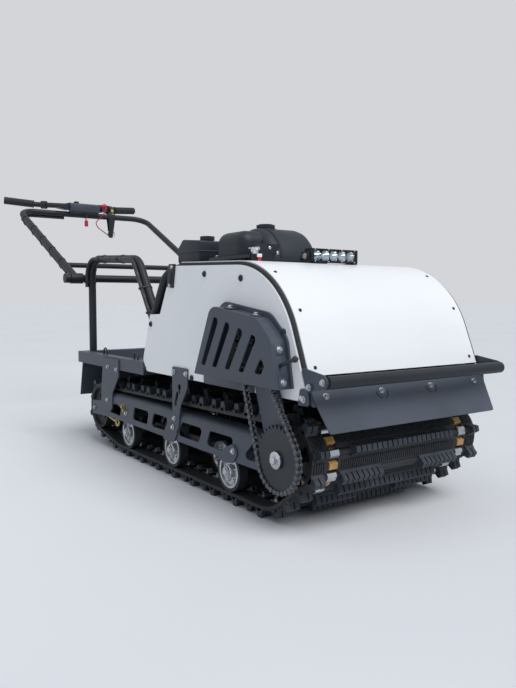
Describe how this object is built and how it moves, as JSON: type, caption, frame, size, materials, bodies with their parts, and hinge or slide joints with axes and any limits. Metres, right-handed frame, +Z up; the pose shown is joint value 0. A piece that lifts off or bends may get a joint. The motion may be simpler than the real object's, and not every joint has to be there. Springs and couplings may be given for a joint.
{
  "type": "tracked snow tug",
  "caption": "Walk-behind motor tug on one wide lugged rubber track, with a curved hood, chain drive, rear rack and a folding steering bow.",
  "frame": {"origin": "on the floor, under the middle of the whole tug", "axes": "+X forward, +Y to the left, +Z up"},
  "size_m": [2.1069, 0.6122, 0.9213],
  "materials": {
    "track_rubber": "moulded rubber, matt",
    "black_rubber": "satin rubber",
    "zinc_steel": "zinc plated",
    "amber_polymer": "moulded polymer",
    "alloy": "cast alloy, bright",
    "graphite_sheet": "satin graphite powder coat",
    "black_tube": "satin black powder coat",
    "white_sheet": "smooth white coat",
    "engine_casting": "black painted casting",
    "black_plastic": "fine grained moulding",
    "lamp_housing": "black anodised",
    "lamp_lens": "clear",
    "chain_steel": "oiled steel",
    "dark_steel": "satin dark coat",
    "red_plastic": "glossy",
    "webbing": "woven",
    "conduit": "corrugated sleeve"
  },
  "bodies": {
    "chassis": {"track_belt": "track_rubber", "road_wheel_tyres": "track_rubber", "idler_wheels": "black_rubber", "drive_axle": "zinc_steel", "idler_axle": "zinc_steel", "road_axles": "zinc_steel", "drive_sprockets": "amber_polymer", "road_wheel_rims": "alloy", "drive_carriers": "graphite_sheet", "wheel_arms": "graphite_sheet", "rail_right": "graphite_sheet", "rail_left": "graphite_sheet", "rail_cross_tubes": "black_tube", "mid_hangers": "graphite_sheet", "rear_hangers": "graphite_sheet", "body_tub": "graphite_sheet", "front_flap": "graphite_sheet", "rear_flap": "graphite_sheet", "chain_cover": "graphite_sheet", "switch_plate": "graphite_sheet", "bumper_brackets": "graphite_sheet", "rack_frame": "graphite_sheet", "tow_hitch": "graphite_sheet", "hood_sheet": "white_sheet", "side_panel_right": "white_sheet", "side_panel_left": "white_sheet", "hood_trims": "black_rubber", "body_hoop": "black_tube", "bumper_tube": "black_tube", "rear_hoops": "black_tube", "pivot_tube": "black_tube", "engine_block": "engine_casting", "fuel_tank": "black_plastic", "fuel_cap": "black_plastic", "air_filter": "black_plastic", "light_bar": "lamp_housing", "light_lens": "lamp_lens", "chain_loop": "chain_steel", "chain_sprocket": "dark_steel", "drive_pinion": "dark_steel", "frame_harness": "conduit"},
    "bow": {"steering_bow": "black_tube", "handlebar": "black_tube", "grips": "black_rubber", "dash_box": "graphite_sheet", "control_switches": "black_plastic", "kill_switch": "black_plastic", "kill_cap": "red_plastic", "wrist_strap": "webbing", "snap_ring": "zinc_steel", "lanyard": "red_plastic", "bow_harness": "conduit"}
  },
  "joints": [
    {"name": "bow_fold", "type": "hinge", "parent": "chassis", "child": "bow", "pos_m": [-0.2718, 0, 0.55], "axis": [0, 1, 0], "range_deg": [-12, 100]}
  ]
}
